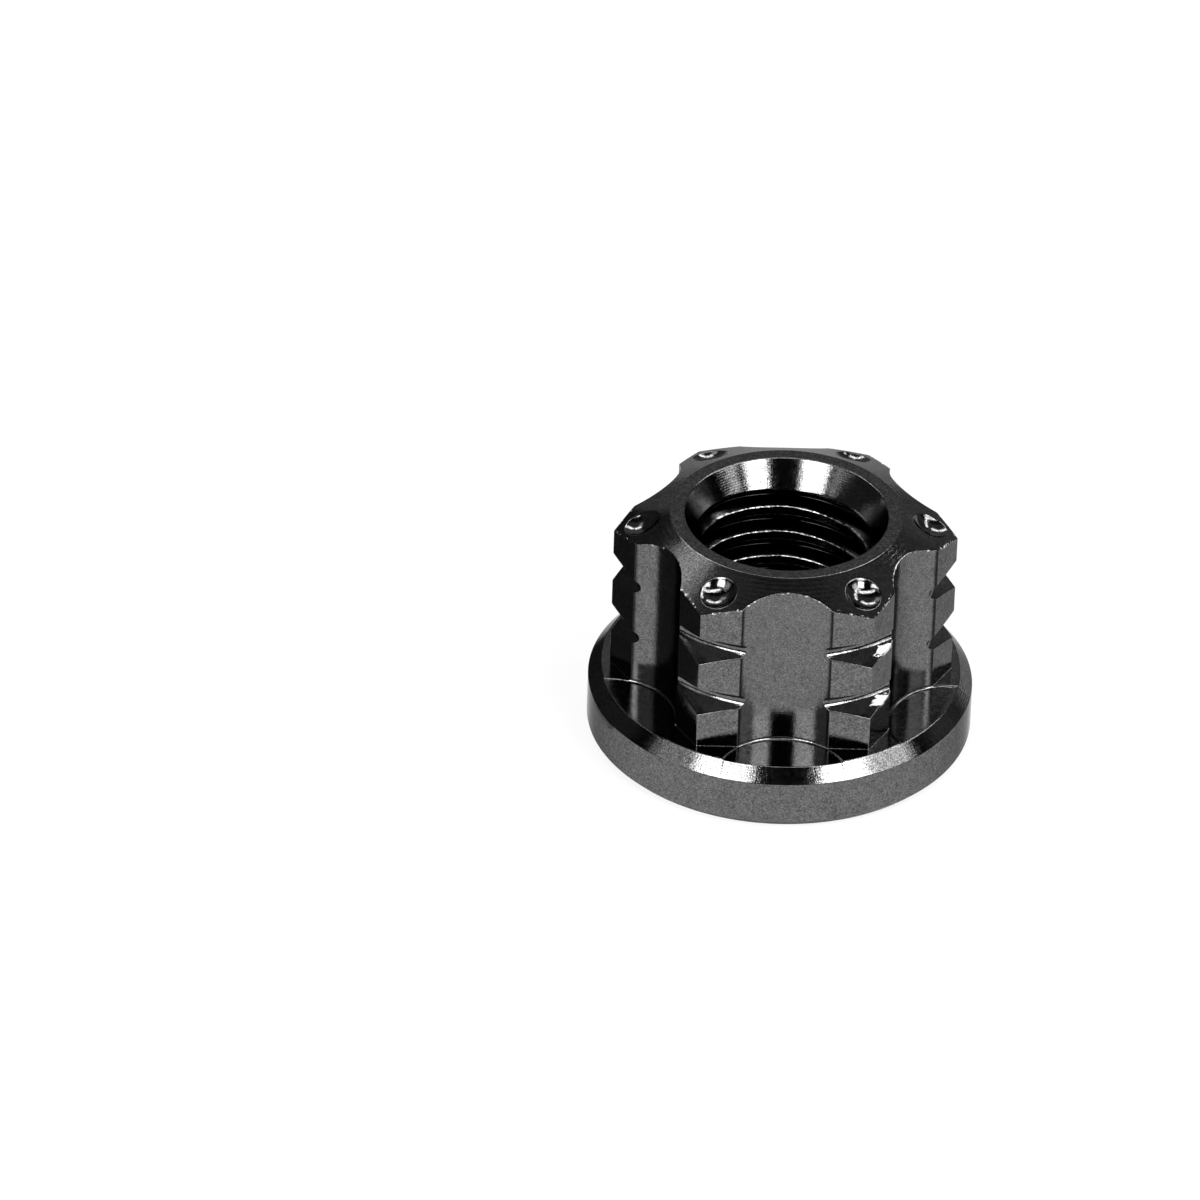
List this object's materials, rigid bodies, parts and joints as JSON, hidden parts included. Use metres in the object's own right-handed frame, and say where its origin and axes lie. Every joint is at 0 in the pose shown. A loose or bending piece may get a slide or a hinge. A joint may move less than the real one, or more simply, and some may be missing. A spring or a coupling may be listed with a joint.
{
  "type": "hex flange nut",
  "caption": "Black coated hex flange nut with fluted flats, turned grooves, dimpled lobes and a threaded bore countersunk at both ends.",
  "frame": {"origin": "centre of the seat face, on the axis of the bore", "axes": "+Z along the bore axis, from the seat face to the top; two of the hexagon's flats face -Y and +Y"},
  "size_m": [0.0195, 0.0194, 0.0125],
  "materials": {
    "coating": "gloss"
  },
  "bodies": {
    "root": {"flange_nut": "coating"}
  },
  "joints": []
}
